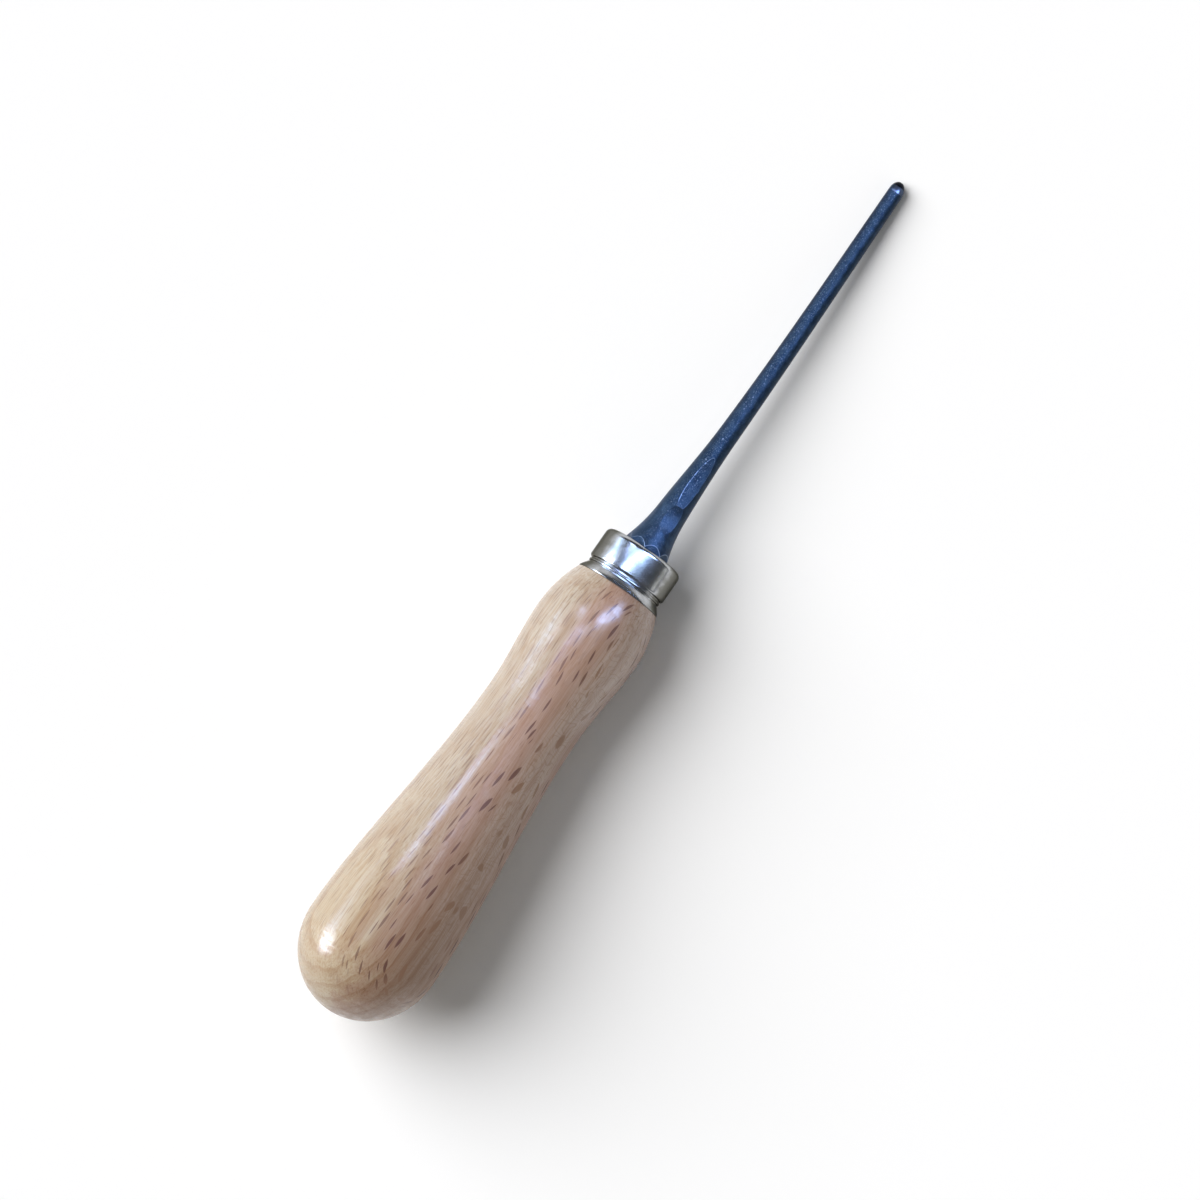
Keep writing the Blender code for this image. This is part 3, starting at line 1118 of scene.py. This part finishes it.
    def rim(self, piece: Piece, chosen: FaceTest, wear: float) -> None:
        """Inset an arris along the edge of some faces, and mark it as rubbed.

        Args:
            piece: The forging.
            chosen: Tells whether a face is one of them.
            wear: How far the arris is rubbed, from 0 to 1.
        """
        before = len(piece.data.polygons)
        select_only(piece)
        edit_all()
        select_faces(piece, chosen)
        bpy.ops.mesh.inset(thickness=self.arris, use_even_offset=False)
        mesh = bmesh.from_edit_mesh(piece.data)
        name = BluedForging.wear_name
        worn = mesh.faces.layers.float.get(name) or mesh.faces.layers.float.new(name)
        mesh.faces.ensure_lookup_table()
        for face in mesh.faces[before:]:
            face[worn] = 0.0 if face.select else wear
        bmesh.update_edit_mesh(piece.data)
        bpy.ops.object.mode_set(mode="OBJECT")

    def grind_flat(self, piece: Piece, flat: GroundFlat) -> None:
        """Grind a flat with a large wheel that passes through both its ends.

        Args:
            piece: The forging.
            flat: Where the flat lies.
        """
        start, end = self.radius_at(flat.start), self.radius_at(flat.end)
        middle = (flat.start + flat.end) / 2.0
        chord = Vector((flat.end - flat.start, end - start))
        sagitta = (start + end) / 2.0 - self.radius_at(middle) + flat.depth
        radius = chord.length**2 / (8.0 * sagitta) + sagitta / 2.0
        out = Vector((-chord.y, chord.x)).normalized()
        hub = Vector((middle, (start + end) / 2.0)) + out * (radius - sagitta)
        turn = Matrix.Rotation(math.radians(flat.turn), 3, "X")
        axis = turn @ Vector((0.0, 1.0, 0.0))
        centre = turn @ Vector((hub.x, 0.0, hub.y))
        deselect()
        bpy.ops.mesh.primitive_cylinder_add(
            vertices=self.wheel_sides,
            radius=radius,
            depth=2.0 * self.flare_diameter,
            location=centre,
            rotation=(math.radians(90.0 + flat.turn), 0.0, 0.0),
        )
        self.combine(piece, bpy.context.active_object, "DIFFERENCE")

        def ground(face: bmesh.types.BMFace) -> bool:
            """Tell whether a face was left by the wheel.

            Args:
                face: The face.

            Returns:
                Whether it lies on the wheel and faces its hub.
            """
            arm = face.calc_center_median() - centre
            arm -= axis * arm.dot(axis)
            return abs(arm.length - radius) < radius * ON_WHEEL and face.normal.dot(arm) < 0.0

        self.rim(piece, ground, flat.wear)

    def build(self, tool: ToolAxis) -> None:
        """Forge, grind and dress the blade.

        Args:
            tool: The tool's axes.
        """
        piece = self.draw_out()
        self.forge_flats(piece)
        self.weld_tang(piece)
        for flat in self.flats:
            self.grind_flat(piece, flat)
        install(piece, tool, BluedForging(), Node.BLADE, self.crease)


@dataclass(frozen=True)
class Window:
    """A bright panel of the studio that shows in gloss, given by its direction from the tool.

    The angles are measured from the tool's own upright: left of its axis, and forward towards the
    blade. The turn swings the panel's length from forward towards the left.
    """

    left: float
    forward: float
    half_width: float
    half_length: float
    turn: float
    soft: float
    colour: Colour
    strength: float

    def light(self, graph: Graph, sky: Sock, tool: ToolAxis) -> Sock:
        """Glow of the panel.

        Args:
            graph: Graph of the world.
            sky: Direction that is looked in.
            tool: The tool's axes.

        Returns:
            How much of the panel shows in that direction, from 0 to 1.
        """
        middle = tool.towards(self.left, self.forward)
        swing = math.radians(self.turn)
        along = tool.direction(math.cos(swing), math.sin(swing), 0.0)
        length_way = (along - middle * along.dot(middle)).normalized()
        width_way = middle.cross(length_way)
        ahead = graph.dot(sky, middle)
        near = graph.math("MAXIMUM", ahead, LEAST_AHEAD)
        inside = ahead.over(0.02, 0.05)
        for way, half in ((width_way, self.half_width), (length_way, self.half_length)):
            edge = math.tan(math.radians(half))
            inside = inside * abs(graph.dot(sky, way) / near).over(edge + self.soft, edge)
        return inside


@dataclass(frozen=True)
class SoftLamp:
    """A broad matt lamp, given as the panels are, with its disc's width and its light on a wall."""

    name: str
    left: float
    forward: float
    spread: float
    colour: Colour
    strength: float

    def hang(self, tool: ToolAxis) -> None:
        """Hang the lamp.

        Args:
            tool: The tool's axes.
        """
        sun = bpy.data.lights.new(self.name, "SUN")
        sun.angle = math.radians(self.spread)
        sun.color = self.colour
        sun.energy = self.strength * math.pi
        lamp = bpy.data.objects.new(self.name, sun)
        lamp.visible_glossy = False
        bpy.context.scene.collection.objects.link(lamp)
        towards = tool.towards(self.left, self.forward)
        lamp.matrix_world = towards.to_track_quat("Z", "Y").to_matrix().to_4x4()


@dataclass
class Studio:
    """Pale floor, soft lamps and panels, and the photograph's camera, which looks straight down."""

    image_turn: float = 55.23
    distance: float = 1.60
    view_width: float = 0.2155
    aim_along: float = -0.0118
    aim_left: float = 0.0017
    floor_radius: float = 30.0
    floor_gap: float = 0.00002
    room: Colour = (0.066, 0.066, 0.066)
    dim_panel: Colour = (0.10, 0.104, 0.112)
    lamps: tuple[SoftLamp, ...] = (
        SoftLamp("key_lamp", 48.0, -10.0, 56.0, (0.995, 0.995, 1.0), 1.26),
        SoftLamp("top_lamp", 0.0, -5.45, 60.0, (1.0, 1.0, 1.0), 0.085),
        SoftLamp("side_lamp", -70.0, 0.0, 60.0, (1.0, 0.99, 0.98), 0.10),
    )
    windows: tuple[Window, ...] = (
        Window(76.0, 12.0, 4.0, 8.0, 0.0, 0.08, (0.80, 0.96, 1.22), 2.0),
        Window(76.0, -41.0, 6.0, 13.0, 0.0, 0.12, (0.62, 0.94, 1.46), 5.6),
        Window(74.8, -62.4, 6.0, 6.0, 0.0, 0.20, (0.86, 0.97, 1.16), 20.0),
        Window(58.5, -4.0, 4.0, 1.5, 0.0, 0.03, (0.84, 0.98, 1.26), 13.5),
        Window(37.0, 19.0, 5.0, 2.0, 0.0, 0.05, (0.72, 0.92, 1.52), 13.0),
        Window(3.0, 8.5, 25.0, 3.0, 0.0, 0.05, (0.66, 0.98, 1.45), 1.3),
        Window(14.0, 2.6, 14.0, 2.2, 20.0, 0.04, (0.68, 0.93, 1.58), 9.5),
        Window(2.0, 8.0, 9.0, 2.0, 0.0, 0.05, (0.80, 1.0, 1.24), 2.4),
        Window(-16.0, 28.0, 16.0, 4.8, 36.0, 0.05, (0.64, 0.92, 1.66), 17.0),
        Window(83.0, 24.0, 2.0, 7.0, 0.0, 0.05, (1.0, 1.0, 1.02), 1.8),
        Window(-78.0, 24.0, 2.5, 9.0, 0.0, 0.06, (1.0, 1.0, 0.96), 0.9),
    )

    @staticmethod
    def floor_axes(handle: Sequence[Point], blade: Sequence[Point], tool: ToolAxis) -> Matrix:
        """Axes of the floor that the tool lies on with its shoulder and the point of its blade.

        Args:
            handle: Outline of the handle as (x, radius), all behind the ferrule's face.
            blade: Outline of the blade, all in front of it.
            tool: The tool's axes.

        Returns:
            The floor's axes in the frame: forward, left and up from the shoulder's touching point.
        """
        lines = [(a, b, (a[1] * b[0] - b[1] * a[0]) / (b[0] - a[0])) for a in handle for b in blade]
        rear, front, _ = max(lines, key=lambda line: line[2])
        slope = math.atan2(rear[1] - front[1], front[0] - rear[0])
        shoulder = Matrix.Translation((rear[0], 0.0, -rear[1]))
        return tool.matrix @ shoulder @ Matrix.Rotation(-slope, 4, "Y")

    def lay_floor(self, tool: ToolAxis, axes: Matrix) -> None:
        """Lay the floor just under the tool.

        Args:
            tool: The tool's axes.
            axes: The floor's axes.
        """
        deselect()
        bpy.ops.mesh.primitive_circle_add(vertices=64, radius=self.floor_radius, fill_type="NGON")
        floor = bpy.context.active_object
        floor.name = "studio_floor"
        floor.matrix_world = axes @ Matrix.Translation((0.0, 0.0, -self.floor_gap))
        bpy.ops.object.transform_apply()
        floor.data.materials.append(PaleFloor().material(tool))

    def light(self, tool: ToolAxis) -> None:
        """Light the studio: lamps and dim walls for matt light, panels for gloss, white behind.

        Args:
            tool: The tool's axes.
        """
        for lamp in self.lamps:
            lamp.hang(tool)
        world = bpy.data.worlds.new("studio")
        world.use_nodes = True
        bpy.context.scene.world = world
        graph = Graph(world.node_tree)
        sky = graph.add("ShaderNodeTexCoord", output="Generated")
        panels: Any = self.dim_panel
        for window in self.windows:
            bright = tuple(channel * window.strength for channel in window.colour)
            panels = graph.mix(window.light(graph, sky, tool), panels, bright)
        ray = graph.node("ShaderNodeLightPath")
        colour = graph.mix(Sock(graph, ray.outputs["Is Glossy Ray"]), self.room, panels)
        colour = graph.mix(Sock(graph, ray.outputs["Is Camera Ray"]), colour, (1.0, 1.0, 1.0))
        background = graph.add("ShaderNodeBackground", None, {"Color": colour, "Strength": 1.0})
        graph.node("ShaderNodeOutputWorld", None, {"Surface": background})

    def set_camera(self, tool: ToolAxis, axes: Matrix) -> None:
        """Look straight down at the tool, turned as in the photograph.

        Args:
            tool: The tool's axes.
            axes: The floor's axes.
        """
        lens = bpy.data.cameras.new("photo_camera")
        lens.sensor_fit = "HORIZONTAL"
        lens.angle = 2.0 * math.atan(self.view_width / 2.0 / self.distance)
        lens.clip_start = 0.01
        lens.clip_end = 100.0
        camera = bpy.data.objects.new("photo_camera", lens)
        bpy.context.scene.collection.objects.link(camera)
        turn = axes.to_3x3() @ Matrix.Rotation(-math.radians(self.image_turn), 3, "Z")
        aim = tool.matrix @ Vector((self.aim_along, self.aim_left, 0.0))
        camera.matrix_world = Matrix.Translation(aim + turn.col[2] * self.distance) @ turn.to_4x4()
        bpy.context.scene.camera = camera


def main() -> None:
    """Build the pieces, then the studio round them."""
    logging.basicConfig(level=logging.INFO, format="%(name)s %(message)s")
    bpy.context.scene.view_settings.view_transform = "Standard"
    tool = ToolAxis.from_frame()
    ferrule = Ferrule()
    handle = Handle(ferrule)
    blade = Blade()
    for part in (handle, ferrule, blade):
        part.build(tool)
    studio = Studio()
    floor = studio.floor_axes(handle.outside(), blade.outside(), tool)
    studio.lay_floor(tool, floor)
    studio.light(tool)
    studio.set_camera(tool, floor)


if __name__ == "__main__":
    main()
